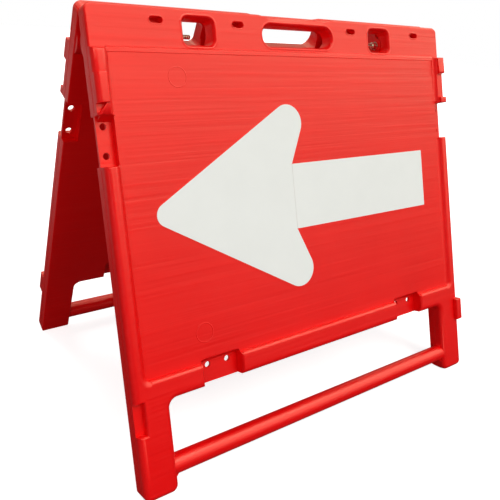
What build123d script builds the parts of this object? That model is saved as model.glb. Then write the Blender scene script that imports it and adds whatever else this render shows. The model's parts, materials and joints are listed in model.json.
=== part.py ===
from build123d import *
import os
from math import cos, radians, sin

# Folding arrow board for road works: two identical hollow blow-moulded panels that lean against
# each other and fold about two bolts near their top edge. The front one carries a white arrow.
#
# The frame is in millimetres, with +Z up and the origin on the ground under the middle of the
# board. X runs along the width, and the panel with the arrow faces -Y.
#
# A panel is drawn hanging straight down from the hinge axis, which is then the X axis. A drop is
# measured down from the panel's top edge, and a depth outwards from its inner face.

# Whole board
BOARD_WIDTH = 600.0
PANEL_HEIGHT = 572.0
OPEN_ANGLE = 39.5
STOP_GAP = 0.1

# Moulding
WALL = 3.0
RIM_WALL = 4.5
BODY_DEPTH = 28.0
FACE_DEPTH = 21.5
BAND_DEPTH = 19.0
BAND_HEIGHT = 48.6
FLANGE_WIDTH = 18.0
LEG_WIDTH = 44.7
LEG_HEIGHT = 113.3
SILL_HEIGHT = 30.2
FOOT_BEVEL = 6.5
BAR_DIAMETER = 24.5
BAR_RISE = 29.0

# Rounding of the moulding
TOP_CORNER = 9.0
FOOT_CORNER = 9.0
ARCH_CORNER = 11.0
FACE_CORNER = 6.0
FRONT_ROUND = 8.0
STEP_ROUND = 2.0
BACK_EDGE = 1.2
BAND_EDGE = 2.8
LIP_EDGE = 3.0
MOUTH_EDGE = 2.4
MOUTH_SLOPE = 45.0
FLARE = 4.0

# Hand-hold and grip
HANDLE_WIDTH = 121.0
HANDLE_HEIGHT = 27.0
HANDLE_DROP = 13.0
HANDLE_CORNER = 13.0
GRIP_WIDTH = 104.0
GRIP_RUN = 12.0
GRIP_DIP = 2.0
GRIP_ROUND = 20.0

# Windows over the hinge nuts
WINDOW_INSET = 120.5
WINDOW_WIDTH = 42.0
WINDOW_HEIGHT = 31.5
WINDOW_DROP = 10.7
WINDOW_CORNER = 7.0

# Short blind slots, where the two skins are pinched together
SLOT_WIDTH = 18.0
SLOT_HEIGHT = 8.0
SLOT_DEPTH = 12.0
SLOT_DROP = 11.4
SLOT_PLACES = (-215.0, -100.0, 100.0, 240.0)

# Thin webs with tie holes
WEB_DEPTH = 8.0
WEB_THICKNESS = 4.0
TIE_RADIUS = 4.0
SIDE_WEB_DROP = 122.4
SIDE_WEB_HEIGHT = 56.5
SIDE_WEB_WIDTH = 19.0
SIDE_TIE_INSET = 8.4
SIDE_TIE_PITCH = 32.8
NOTCH_INSET = 94.0
NOTCH_WIDTH = 58.0
NOTCH_RISE = 4.0
NOTCH_CORNER = 4.0
NOTCH_TIE_PITCH = 29.2
NOTCH_TIE_DROP = 8.0

# Stacking bumps on the right edge and the recesses on the left edge that take them
PAD_WIDTH = 14.0
PAD_RISE = 2.4
PAD_LENGTH = 25.0
PAD_DROP = 50.0
PAD_EDGE = 1.0
REST_RISE = 2.5
REST_DROP = 76.6
REST_LENGTH = 33.0
REST_ROOM = 3.0
HOOK_LENGTH = 9.0
BITE_LENGTH = 10.0
BITE_WIDTH = 10.5
BITE_FOOT = 3.0
BITE_DEPTH = 6.5
NUB_RISE = 7.3
NUB_WIDTH = 12.0
NUB_LENGTH = 35.0
NUB_LIFT = 83.0
NUB_EDGE = 1.6
NUB_ROOM = 2.0

# Hinge
HINGE_DROP = 27.0
HINGE_OFFSET = 7.0
KNUCKLE_RADIUS = 11.0
KNUCKLE_WIDTH = 25.0
KNUCKLE_ROOM = 1.0
KNUCKLE_GAP = 0.4
BEAD_WIDTH = 28.0
BEAD_DROP = 43.0
FOLD_GAP = 0.2

# Hinge hardware
BOLT_DIAMETER = 6.0
BOLT_LENGTH = 75.0
BOLT_ROOM = 0.05
BOLT_CHAMFER = 0.8
HEX_WIDTH = 10.0
HEAD_HEIGHT = 4.0
NUT_HEIGHT = 6.0
COLLAR_HEIGHT = 2.0
COLLAR_DIAMETER = 8.6
WASHER_DIAMETER = 12.5
WASHER_THICKNESS = 1.6
WASHER_GAP = 0.1
WASHER_ROOM = 0.2

# Arrow sheets, with the head's sizes taken to its corners before they are rounded
SHEET_THICKNESS = 0.5
ARROW_LENGTH = 493.7
ARROW_SHIFT = -10.5
ARROW_DROP = 241.3
HEAD_LENGTH = 275.0
HEAD_SPAN = 319.0
HEAD_SWEEP = 52.0
SHAFT_WIDTH = 88.7
SEAM_GAP = 0.3
TIP_ROUND = 14.6
WING_ROUND = 24.6
SHAFT_CORNER = 1.5

# Values that follow from the sizes above
TILT = OPEN_ANGLE / 2
HALF = BOARD_WIDTH / 2
FLANGE_EDGE = HALF - FLANGE_WIDTH
LEG_EDGE = HALF - LEG_WIDTH
SILL_DROP = PANEL_HEIGHT - LEG_HEIGHT
LEDGE_DROP = SILL_DROP - SILL_HEIGHT
WINDOW_END = HALF - WINDOW_INSET
WINDOW_START = WINDOW_END - WINDOW_WIDTH
NOTCH_END = HALF - NOTCH_INSET
NOTCH_START = NOTCH_END - NOTCH_WIDTH
BEAD_RISE = HINGE_OFFSET - FOLD_GAP
HINGE_TO_FOOT = PANEL_HEIGHT - FOOT_BEVEL - HINGE_DROP
HINGE_HEIGHT = HINGE_TO_FOOT * cos(radians(TILT)) - HINGE_OFFSET * sin(radians(TILT))
FAR_START = WINDOW_END + KNUCKLE_WIDTH + KNUCKLE_GAP
FAR_END = FAR_START + KNUCKLE_WIDTH
HEAD_SEAT = FAR_END + WASHER_GAP + WASHER_THICKNESS
POCKET_RADIUS = KNUCKLE_RADIUS + KNUCKLE_ROOM
POCKET_START = WINDOW_END - WALL
POCKET_END = HEAD_SEAT + HEAD_HEIGHT + KNUCKLE_ROOM
SIDES = (-1, 1)
BEYOND = 40.0


def plan_box(start, end, drop, height, corner=0.0):
    """A rectangle on the panel, between two places across it and down from a drop."""
    place = Pos((start + end) / 2, HINGE_DROP - drop - height / 2)
    width = abs(end - start)
    if corner > 0:
        return place * RectangleRounded(width, height, corner)
    return place * Rectangle(width, height)


def plan_outline(corners):
    """A closed outline on the panel through corners given as place, drop and radius."""
    points = [(place, HINGE_DROP - drop) for place, drop, _ in corners]
    line = FilletPolyline(*points, radius=[radius for _, _, radius in corners], close=True)
    return make_face(line.edges())


def layer(plan, inner, outer):
    """A plan made solid from an inner depth to an outer depth."""
    return extrude(Plane.XZ.offset(HINGE_OFFSET + inner) * plan, outer - inner)


def along_hinge(radius, start, end):
    """A round bar on the hinge axis between two places across the board."""
    return Pos((start + end) / 2, 0, 0) * Rot(0, 90, 0) * Cylinder(radius, abs(end - start))


def front_edges(body, depth):
    """The edges of the flat faces that lie at one depth."""
    level = -(HINGE_OFFSET + depth)
    faces = [face for face in body.faces().filter_by(Axis.Y) if abs(face.center().Y - level) < 1e-4]
    return [edge for face in faces for edge in face.edges()]


def frame_plan():
    """Flanges, legs and sill: a frame that is open at its top and at its foot."""
    left = [
        (-FLANGE_EDGE, BAND_HEIGHT, 0),
        (-HALF, BAND_HEIGHT, 0),
        (-HALF, PANEL_HEIGHT, FOOT_CORNER),
        (-LEG_EDGE, PANEL_HEIGHT, FOOT_CORNER),
        (-LEG_EDGE, SILL_DROP, ARCH_CORNER),
    ]
    right = [(-place, drop, radius) for place, drop, radius in reversed(left)]
    inside = [(FLANGE_EDGE, LEDGE_DROP, FACE_CORNER), (-FLANGE_EDGE, LEDGE_DROP, FACE_CORNER)]
    return plan_outline(left + right + inside)


def band_plan():
    """The top band, with rounded corners and a shallow dip over the hand-hold."""
    foot = BAND_HEIGHT + FRONT_ROUND
    dip = GRIP_WIDTH / 2
    edge = dip + GRIP_RUN
    return plan_outline([
        (-HALF, 0, TOP_CORNER), (-edge, 0, GRIP_ROUND), (-dip, GRIP_DIP, GRIP_ROUND),
        (dip, GRIP_DIP, GRIP_ROUND), (edge, 0, GRIP_ROUND), (HALF, 0, TOP_CORNER),
        (HALF, foot, 0), (-HALF, foot, 0),
    ])


def opening_plan():
    """The hand-hold and the two windows."""
    half = HANDLE_WIDTH / 2
    plans = [plan_box(-half, half, HANDLE_DROP, HANDLE_HEIGHT, HANDLE_CORNER)]
    for side in SIDES:
        ends = (side * WINDOW_START, side * WINDOW_END)
        plans.append(plan_box(*ends, WINDOW_DROP, WINDOW_HEIGHT, WINDOW_CORNER))
    return Sketch() + plans


def slot_plan():
    """The short blind slots."""
    slot = SlotOverall(SLOT_WIDTH, SLOT_HEIGHT)
    height = HINGE_DROP - SLOT_DROP - SLOT_HEIGHT / 2
    return Sketch() + [Pos(place, height) * slot for place in SLOT_PLACES]


def web_plan(margin, corner):
    """The thin places, open at the board's sides and the sill's edge, and a margin larger."""
    plans = []
    for side in SIDES:
        ends = (side * (HALF - SIDE_WEB_WIDTH - margin), side * (HALF + BEYOND))
        plans.append(plan_box(*ends, SIDE_WEB_DROP - margin, SIDE_WEB_HEIGHT + 2 * margin))
        ends = (side * (NOTCH_START - margin), side * (NOTCH_END + margin))
        drop = LEDGE_DROP - NOTCH_RISE - margin
        plans.append(plan_box(*ends, drop, SILL_DROP + BEYOND - drop, corner))
    return Sketch() + plans


def tie_plan():
    """The tie holes in the thin places."""
    hole = Circle(TIE_RADIUS)
    side = HALF - SIDE_TIE_INSET
    middle = SIDE_WEB_DROP + SIDE_WEB_HEIGHT / 2
    notch = (NOTCH_START + NOTCH_END) / 2
    places = [(side, middle - SIDE_TIE_PITCH / 2), (side, middle + SIDE_TIE_PITCH / 2)]
    places += [(notch + step * NOTCH_TIE_PITCH / 2, LEDGE_DROP + NOTCH_TIE_DROP) for step in SIDES]
    spots = [(sign * across, HINGE_DROP - drop) for sign in SIDES for across, drop in places]
    return Sketch() + [Pos(*spot) * hole for spot in spots]


def recess_plan(margin):
    """The recess in the left flange that takes the next board's nub, and a margin larger."""
    room = NUB_ROOM + margin
    drop = PANEL_HEIGHT - NUB_LIFT - NUB_LENGTH - room
    return plan_box(-HALF - BEYOND, -HALF + NUB_WIDTH + margin, drop, NUB_LENGTH + 2 * room)


def rest_plan(margin):
    """The recess in the right flange that takes the next board's pad, and a margin larger."""
    start = HALF - PAD_WIDTH - REST_ROOM - margin
    return plan_box(start, HALF + BEYOND, REST_DROP - margin, REST_LENGTH + REST_ROOM + 2 * margin)


def bite_plan(margin):
    """The notch in the left flange below its pad, and a margin larger."""
    top = REST_DROP + REST_LENGTH - margin
    foot = top + BITE_LENGTH + 2 * margin
    return plan_outline([
        (-HALF - BEYOND, top, 0), (-HALF + BITE_WIDTH + margin, top, 0),
        (-HALF + BITE_FOOT + margin, foot, 0), (-HALF - BEYOND, foot, 0),
    ])


def mouth(plan, depth, edge):
    """The sloping edge of an opening, which widens out to a depth."""
    return extrude(Plane.XZ.offset(HINGE_OFFSET + depth - edge) * plan, 2 * edge, taper=-MOUTH_SLOPE)


def bead():
    """The rounded bead across the inner face, which the folded panels rest on."""
    radius = (BEAD_WIDTH ** 2 / 4 + BEAD_RISE ** 2) / (2 * BEAD_RISE)
    middle = HINGE_DROP - BEAD_DROP
    bar = Pos(0, BEAD_RISE - radius - HINGE_OFFSET, middle) * Rot(0, 90, 0)
    bar = bar * Cylinder(radius, BOARD_WIDTH - 2 * BACK_EDGE)
    room = plan_box(-HALF, HALF, BEAD_DROP - BEAD_WIDTH / 2, BEAD_WIDTH)
    return bar & layer(room, -HINGE_OFFSET, WALL)


def past_stop():
    """The room behind the plane where the two panels' tops meet when the board stands."""
    block = Box(BOARD_WIDTH + BEYOND, BOARD_WIDTH, 4 * PANEL_HEIGHT)
    return Rot(TILT, 0, 0) * Pos(0, BOARD_WIDTH / 2 - STOP_GAP, 0) * block


def under_floor(margin):
    """The room below the ground when the board stands."""
    block = Box(BOARD_WIDTH + BEYOND, 2 * PANEL_HEIGHT, PANEL_HEIGHT)
    return Rot(TILT, 0, 0) * Pos(0, 0, margin - HINGE_HEIGHT - PANEL_HEIGHT / 2) * block


def cross_bar(radius, inset):
    """The round bar between the legs, with its ends inside them."""
    place = Pos(0, -(HINGE_OFFSET + BODY_DEPTH / 2), HINGE_DROP - PANEL_HEIGHT + BAR_RISE)
    return place * Rot(0, 90, 0) * Cylinder(radius, 2 * LEG_EDGE + LEG_WIDTH - 2 * inset)


def bar_flares():
    """The places where the bar widens into the legs."""
    radius = BAR_DIAMETER / 2
    place = Pos(0, -(HINGE_OFFSET + BODY_DEPTH / 2), HINGE_DROP - PANEL_HEIGHT + BAR_RISE)
    cone = Pos(0, 0, LEG_EDGE - FLARE / 2) * Cone(radius, radius + FLARE, FLARE)
    cones = place * (Rot(0, 90, 0) * cone + Rot(0, -90, 0) * cone)
    room = plan_box(-HALF, HALF, SILL_DROP, LEG_HEIGHT)
    return cones & layer(room, FRONT_ROUND, BODY_DEPTH - FRONT_ROUND)


def knuckle(start, end):
    """One hinge knuckle: a round boss with straight sides down to the panel."""
    root = Pos((start + end) / 2, -HINGE_OFFSET / 2 - WALL / 2, 0)
    root = root * Box(abs(end - start), HINGE_OFFSET + WALL, 2 * KNUCKLE_RADIUS)
    return along_hinge(KNUCKLE_RADIUS, start, end) + root


def pad(start, end, drop, length, rise, edge):
    """A raised pad on a flange, with its front edges taken off."""
    body = layer(plan_box(start, end, drop, length), FACE_DEPTH, BODY_DEPTH + rise)
    return chamfer(front_edges(body, BODY_DEPTH + rise), edge)


def cavity():
    """The hollow inside the moulding below its band, one wall inside its outside."""
    wide = HALF - RIM_WALL
    deep = BODY_DEPTH - WALL
    top = BAND_HEIGHT + WALL
    ledge = LEDGE_DROP + RIM_WALL
    sill = SILL_DROP - RIM_WALL
    foot = PANEL_HEIGHT - 2 * WALL
    room = layer(plan_box(-wide, wide, top, sill - top), WALL, FACE_DEPTH - WALL)
    room += layer(plan_box(-wide, wide, ledge, sill - ledge), WALL, deep)
    for side in SIDES:
        flange = plan_box(side * (FLANGE_EDGE + RIM_WALL), side * wide, top, foot - top)
        leg = plan_box(side * (LEG_EDGE + RIM_WALL), side * wide, ledge, foot - ledge)
        room += layer(flange, WALL, deep)
        room += layer(leg, WALL, deep)
    room += cross_bar(BAR_DIAMETER / 2 - WALL, WALL)
    room -= layer(web_plan(WALL, 0) + recess_plan(WALL) + bite_plan(RIM_WALL), -BEYOND, BEYOND)
    room -= layer(rest_plan(WALL), BODY_DEPTH - REST_RISE - WALL, BEYOND)
    return room - under_floor(WALL)


def blank():
    """The outside of the moulding with its main levels and rounded edges."""
    body = layer(frame_plan(), 0, BODY_DEPTH)
    body = fillet(front_edges(body, BODY_DEPTH), FRONT_ROUND)
    wide = FLANGE_EDGE + WALL
    slab = plan_box(-wide, wide, BAND_HEIGHT, LEDGE_DROP + SILL_HEIGHT / 2 - BAND_HEIGHT)
    slab = layer(slab, 0, FACE_DEPTH)
    body += fillet(ShapeList(front_edges(slab, FACE_DEPTH)).sort_by(Axis.Z)[-1], STEP_ROUND)
    band = layer(band_plan(), 0, BAND_DEPTH)
    rim = ShapeList(front_edges(band, BAND_DEPTH)).sort_by(Axis.Z)[1:]
    body += chamfer(rim, BAND_EDGE)
    return chamfer(front_edges(body, 0), BACK_EDGE)


def stacking(body):
    """Adds the stacking bumps on the right edge and cuts their recesses in the left one."""
    start = HALF - PAD_WIDTH
    body -= layer(rest_plan(0), BODY_DEPTH - REST_RISE, BEYOND)
    body += pad(start, HALF, PAD_DROP, PAD_LENGTH, PAD_RISE, PAD_EDGE)
    body += pad(start, HALF, SIDE_WEB_DROP - HOOK_LENGTH, HOOK_LENGTH, PAD_RISE, PAD_EDGE)
    body += pad(-HALF, -start, REST_DROP, REST_LENGTH, REST_RISE, PAD_EDGE)
    nub_drop = PANEL_HEIGHT - NUB_LIFT - NUB_LENGTH
    body += pad(HALF - NUB_WIDTH, HALF, nub_drop, NUB_LENGTH, NUB_RISE, NUB_EDGE)
    recess = recess_plan(0)
    body -= layer(recess, BODY_DEPTH - NUB_RISE - NUB_ROOM, BEYOND)
    body -= mouth(recess, BODY_DEPTH, MOUTH_EDGE)
    return body - layer(bite_plan(0), BODY_DEPTH - BITE_DEPTH, BEYOND)


def hinge(body):
    """Adds the panel's own two knuckles, with room for the other panel's beside them."""
    near = (-WINDOW_END, -WINDOW_END - KNUCKLE_WIDTH)
    far = (FAR_START, FAR_END)
    body -= along_hinge(POCKET_RADIUS, -POCKET_END, -FAR_START + KNUCKLE_GAP / 2)
    body -= along_hinge(POCKET_RADIUS, POCKET_START, FAR_START - KNUCKLE_GAP / 2)
    body -= along_hinge(POCKET_RADIUS, FAR_END, POCKET_END)
    body += knuckle(*near)
    body += knuckle(*far)
    body -= along_hinge(BOLT_DIAMETER / 2 + BOLT_ROOM, near[0], near[1])
    return body - along_hinge(BOLT_DIAMETER / 2 + BOLT_ROOM, far[0], far[1])


def panel():
    """One moulded panel, drawn straight down from the hinge axis."""
    body = blank()
    body += cross_bar(BAR_DIAMETER / 2, 0)
    body += bar_flares()
    body += bead()
    body -= layer(opening_plan(), -BEYOND, BEYOND)
    body -= mouth(opening_plan(), BAND_DEPTH, LIP_EDGE)
    body -= past_stop()
    body -= under_floor(0)
    body -= layer(slot_plan(), BAND_DEPTH - SLOT_DEPTH, BEYOND)
    thin = web_plan(0, NOTCH_CORNER)
    body -= layer(thin, WEB_DEPTH + WEB_THICKNESS, BEYOND)
    body -= layer(thin, -BEYOND, WEB_DEPTH)
    body -= mouth(thin, BODY_DEPTH, MOUTH_EDGE)
    body -= layer(tie_plan(), 0, BEYOND)
    return hinge(stacking(body)) - cavity()


def sheet(plan):
    """A thin sheet stuck to the panel's face."""
    return layer(plan, FACE_DEPTH, FACE_DEPTH + SHEET_THICKNESS)


def arrow_head():
    """The triangular sheet with swept wings."""
    tip = ARROW_SHIFT - ARROW_LENGTH / 2
    seam = tip + HEAD_LENGTH - HEAD_SWEEP
    return sheet(plan_outline([
        (tip, ARROW_DROP, TIP_ROUND),
        (tip + HEAD_LENGTH, ARROW_DROP - HEAD_SPAN / 2, WING_ROUND),
        (seam, ARROW_DROP - SHAFT_WIDTH / 2, 0),
        (seam, ARROW_DROP + SHAFT_WIDTH / 2, 0),
        (tip + HEAD_LENGTH, ARROW_DROP + HEAD_SPAN / 2, WING_ROUND),
    ]))


def arrow_shaft():
    """The straight sheet behind the head."""
    start = ARROW_SHIFT - ARROW_LENGTH / 2 + HEAD_LENGTH - HEAD_SWEEP + SEAM_GAP
    end = ARROW_SHIFT + ARROW_LENGTH / 2
    return sheet(plan_box(start, end, ARROW_DROP - SHAFT_WIDTH / 2, SHAFT_WIDTH, SHAFT_CORNER))


def bolt():
    """The left hinge bolt, with its head outboard."""
    head = Plane.YZ.offset(-HEAD_SEAT - HEAD_HEIGHT) * RegularPolygon(HEX_WIDTH / 2, 6, major_radius=False)
    head = extrude(head, HEAD_HEIGHT)
    shank = along_hinge(BOLT_DIAMETER / 2, -HEAD_SEAT, -HEAD_SEAT + BOLT_LENGTH)
    tip = shank.edges().filter_by(GeomType.CIRCLE).sort_by(Axis.X)[-1]
    return head + chamfer(tip, BOLT_CHAMFER)


def nut():
    """The left lock nut, with its collar inboard."""
    seat = WINDOW_END - WASHER_GAP - WASHER_THICKNESS
    body = Plane.YZ.offset(-seat) * RegularPolygon(HEX_WIDTH / 2, 6, major_radius=False)
    body = extrude(body, NUT_HEIGHT)
    end = -seat + NUT_HEIGHT
    body += along_hinge(COLLAR_DIAMETER / 2, end, end + COLLAR_HEIGHT)
    return body - along_hinge(BOLT_DIAMETER / 2 + BOLT_ROOM, -HALF, 0)


def washer(start):
    """A flat washer between a start and one thickness further in."""
    ring = along_hinge(WASHER_DIAMETER / 2, start, start + WASHER_THICKNESS)
    return ring - along_hinge(BOLT_DIAMETER / 2 + WASHER_ROOM, -HALF, 0)


def stand(shape):
    """Leans a hanging shape to its standing place."""
    return Pos(0, 0, HINGE_HEIGHT) * Rot(-TILT, 0, 0) * shape


def lift(shape):
    """Lifts a shape on the hinge axis to its standing place."""
    return Pos(0, 0, HINGE_HEIGHT) * shape


def turned(shape):
    """Turns a standing shape half a turn about the upright axis."""
    return Rot(0, 0, 180) * shape


front = stand(panel())
left_bolt = lift(bolt())
left_nut = lift(nut())
left_head_washer = lift(washer(-HEAD_SEAT))
left_nut_washer = lift(washer(-WINDOW_END + WASHER_GAP))

nodes = {
    "front_panel": front,
    "rear_panel": turned(front),
    "arrow_head": stand(arrow_head()),
    "arrow_shaft": stand(arrow_shaft()),
    "left_hinge_bolt": left_bolt,
    "right_hinge_bolt": turned(left_bolt),
    "left_lock_nut": left_nut,
    "right_lock_nut": turned(left_nut),
    "left_head_washer": left_head_washer,
    "right_head_washer": turned(left_head_washer),
    "left_nut_washer": left_nut_washer,
    "right_nut_washer": turned(left_nut_washer),
}

os.makedirs("parts", exist_ok=True)
for name, shape in nodes.items():
    export_step(shape, f"parts/{name}.step")
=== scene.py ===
"""Dresses the folding arrow board: two moulded panels, a white arrow and the hinge hardware."""
import json
import logging
import math
from collections.abc import Callable, Iterable
from dataclasses import dataclass
from enum import Enum
from functools import partial, reduce

import bmesh
import bpy
from mathutils import Matrix, Vector


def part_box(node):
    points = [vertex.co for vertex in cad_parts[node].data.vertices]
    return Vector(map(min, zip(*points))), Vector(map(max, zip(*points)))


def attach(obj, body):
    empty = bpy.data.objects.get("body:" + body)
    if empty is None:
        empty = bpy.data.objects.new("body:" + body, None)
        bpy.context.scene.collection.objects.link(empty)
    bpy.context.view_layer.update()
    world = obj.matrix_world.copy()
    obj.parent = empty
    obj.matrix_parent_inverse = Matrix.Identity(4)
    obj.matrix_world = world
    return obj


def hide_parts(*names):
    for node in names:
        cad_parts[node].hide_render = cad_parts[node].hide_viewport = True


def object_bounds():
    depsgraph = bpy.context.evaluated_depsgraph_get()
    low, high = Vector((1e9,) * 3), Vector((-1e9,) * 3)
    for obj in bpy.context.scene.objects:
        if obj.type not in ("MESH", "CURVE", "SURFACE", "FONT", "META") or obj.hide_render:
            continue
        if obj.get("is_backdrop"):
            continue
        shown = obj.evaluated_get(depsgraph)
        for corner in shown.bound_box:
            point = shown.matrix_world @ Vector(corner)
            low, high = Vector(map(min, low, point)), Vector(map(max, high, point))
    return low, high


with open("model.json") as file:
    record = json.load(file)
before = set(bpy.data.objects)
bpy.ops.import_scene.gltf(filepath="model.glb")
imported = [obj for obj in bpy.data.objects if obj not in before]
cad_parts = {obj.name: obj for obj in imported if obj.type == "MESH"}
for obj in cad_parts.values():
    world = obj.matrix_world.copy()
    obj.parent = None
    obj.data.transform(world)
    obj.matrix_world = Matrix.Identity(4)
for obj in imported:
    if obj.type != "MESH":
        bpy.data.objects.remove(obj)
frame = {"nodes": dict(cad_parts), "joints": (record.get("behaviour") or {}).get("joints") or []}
CAD_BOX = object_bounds()
LOG = logging.getLogger("arrow_board")

MM = 0.001
WELD = 0.001 * MM
FOLD = frame["joints"][0]
HINGE = Vector(FOLD["pos_m"])
ORIGIN = (0.0, 0.0, 0.0)
WHITE = (1.0, 1.0, 1.0)

Span = tuple[float, float]
Point = tuple[float, float, float]
Colour = tuple[float, float, float]
Ramp = tuple[float, float, float, float]
Rule = float | Callable[[float], float]
Sizes = dict[str, float | Point]
Socket = bpy.types.NodeSocket
Material = bpy.types.Material
Mesh = bpy.types.Mesh
Shape = bmesh.types.BMesh


class Labelled(Enum):
    """A choice whose name is part of its pieces' names."""

    @property
    def label(self) -> str:
        """The choice's name as the pieces have it."""
        return self.name.lower()


class Body(Labelled):
    """The two bodies that the fold joins."""

    FRONT = "front_frame"
    REAR = "rear_frame"


class Slot(Enum):
    """The record's material slots."""

    PLASTIC = "red_plastic"
    SHEET = "white_sheet"
    STEEL = "zinc_steel"


class Side(Labelled):
    """The two ends of the hinge axis, with the way from each to the board's middle."""

    LEFT = 1.0
    RIGHT = -1.0


class Wiring:
    """Builds a node tree by short calls."""

    PREFIX = ""

    def __init__(self, tree: bpy.types.NodeTree) -> None:
        """Keeps the tree that the calls build."""
        self.tree = tree

    def feed(self, socket: Socket, value: object) -> None:
        """Sets an input, or links it to an output.

        Args:
            socket: The input.
            value: Its value, or the output that it is linked to.
        """
        if isinstance(value, Socket):
            self.tree.links.new(value, socket)
        else:
            socket.default_value = value

    def node(self, kind: str, settings: dict[str, object] | None = None,
             **values: object) -> bpy.types.Node:
        """Adds a node.

        Args:
            kind: The node's type name without its prefix.
            settings: Properties of the node.
            values: Names of inputs, with an underscore for a space, and their values.

        Returns:
            The new node.
        """
        made = self.tree.nodes.new(self.PREFIX + kind)
        for key, value in (settings or {}).items():
            setattr(made, key, value)
        for key, value in values.items():
            self.feed(made.inputs[key.replace("_", " ")], value)
        return made


@dataclass(frozen=True)
class Layer:
    """A layer of noise in a finish: its waves to a metre, octaves, and a relief in metres."""

    waves: Point
    octaves: float
    strength: float = 0.0
    depth: float = 0.0


class Paint(Wiring):
    """Builds the shader tree of a material or of the sky."""

    PREFIX = "ShaderNode"
    NOISE_ROUGHNESS = 0.55
    # The Mix node's sockets for colours: their names are those of its other sockets too.
    MIX_SHARE, MIX_FIRST, MIX_SECOND, MIX_RESULT = 0, 6, 7, 2

    def __init__(self, owner: Material | bpy.types.World) -> None:
        """Starts an empty tree in a material or in a world."""
        owner.use_nodes = True
        super().__init__(owner.node_tree)
        self.tree.nodes.clear()
        self.owner = owner

    def math(self, operation: str, first: object, second: object) -> Socket:
        """Works out one value from two.

        Args:
            operation: The Math node's operation.
            first: A number or a socket.
            second: A number or a socket.

        Returns:
            The result.
        """
        made = self.node("Math", {"operation": operation})
        for socket, value in zip(made.inputs, (first, second)):
            self.feed(socket, value)
        return made.outputs[0]

    def plus(self, *terms: object) -> Socket:
        """Adds up numbers and sockets."""
        return reduce(partial(self.math, "ADD"), terms)

    def times(self, *terms: object) -> Socket:
        """Multiplies numbers and sockets."""
        return reduce(partial(self.math, "MULTIPLY"), terms)

    def coords(self, stretch: Point = (1.0, 1.0, 1.0)) -> Socket:
        """Gives Object coordinates, stretched along the axes."""
        source = self.node("TexCoord").outputs["Object"]
        return self.node("Mapping", Vector=source, Scale=stretch).outputs["Vector"]

    def noise(self, layer: Layer) -> Socket:
        """Adds a layer's noise texture, and gives its grey value."""
        made = self.node("TexNoise", Vector=self.coords(layer.waves), Scale=1.0,
                         Detail=layer.octaves, Roughness=self.NOISE_ROUGHNESS)
        return made.outputs["Fac"]

    def spread(self, value: Socket, low: float, high: float,
               start: float = 0.3, end: float = 0.7) -> Socket:
        """Maps a value from one range to another, and holds it at the ends.

        Args:
            value: The value.
            low: The result at the range's start.
            high: The result at the range's end.
            start: The start of the range that is read.
            end: The end of the range that is read.

        Returns:
            The mapped value.
        """
        made = self.node("MapRange", Value=value, From_Min=start, From_Max=end,
                         To_Min=low, To_Max=high)
        return made.outputs["Result"]

    def blend(self, share: Socket, first: object, second: object) -> Socket:
        """Mixes two colours.

        Args:
            share: How much of the second colour there is.
            first: A colour or a socket.
            second: A colour or a socket.

        Returns:
            The mixed colour.
        """
        made = self.node("Mix", {"data_type": "RGBA"})
        self.feed(made.inputs[self.MIX_SHARE], share)
        for index, value in ((self.MIX_FIRST, first), (self.MIX_SECOND, second)):
            self.feed(made.inputs[index], value if isinstance(value, Socket) else (*value, 1.0))
        return made.outputs[self.MIX_RESULT]

    def relief(self, *heights: tuple[Layer, Socket]) -> Socket:
        """Lays bumps on each other.

        Args:
            heights: Layers with their heights, from the lowest up.

        Returns:
            The normal of the last bump.
        """
        under = {}
        for layer, height in heights:
            made = self.node("Bump", Height=height, Strength=layer.strength,
                             Distance=layer.depth, **under)
            under = {"Normal": made.outputs["Normal"]}
        return under["Normal"]

    def rays(self) -> tuple[Socket, Socket]:
        """Tells rays apart.

        Returns:
            One for a ray from the camera or through glass, and one for a ray from a gloss.
        """
        kinds = self.node("LightPath").outputs
        seen = self.math("MAXIMUM", kinds["Is Camera Ray"], kinds["Is Transmission Ray"])
        return seen, kinds["Is Glossy Ray"]

    def end(self, shader: bpy.types.Node) -> None:
        """Ends the tree in a shader."""
        kind = "OutputMaterial" if isinstance(self.owner, Material) else "OutputWorld"
        self.node(kind, Surface=shader.outputs[0])

    def surface(self, **values: object) -> Material:
        """Ends a material's tree in a Principled shader with these inputs."""
        self.end(self.node("BsdfPrincipled", **values))
        return self.owner


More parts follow.
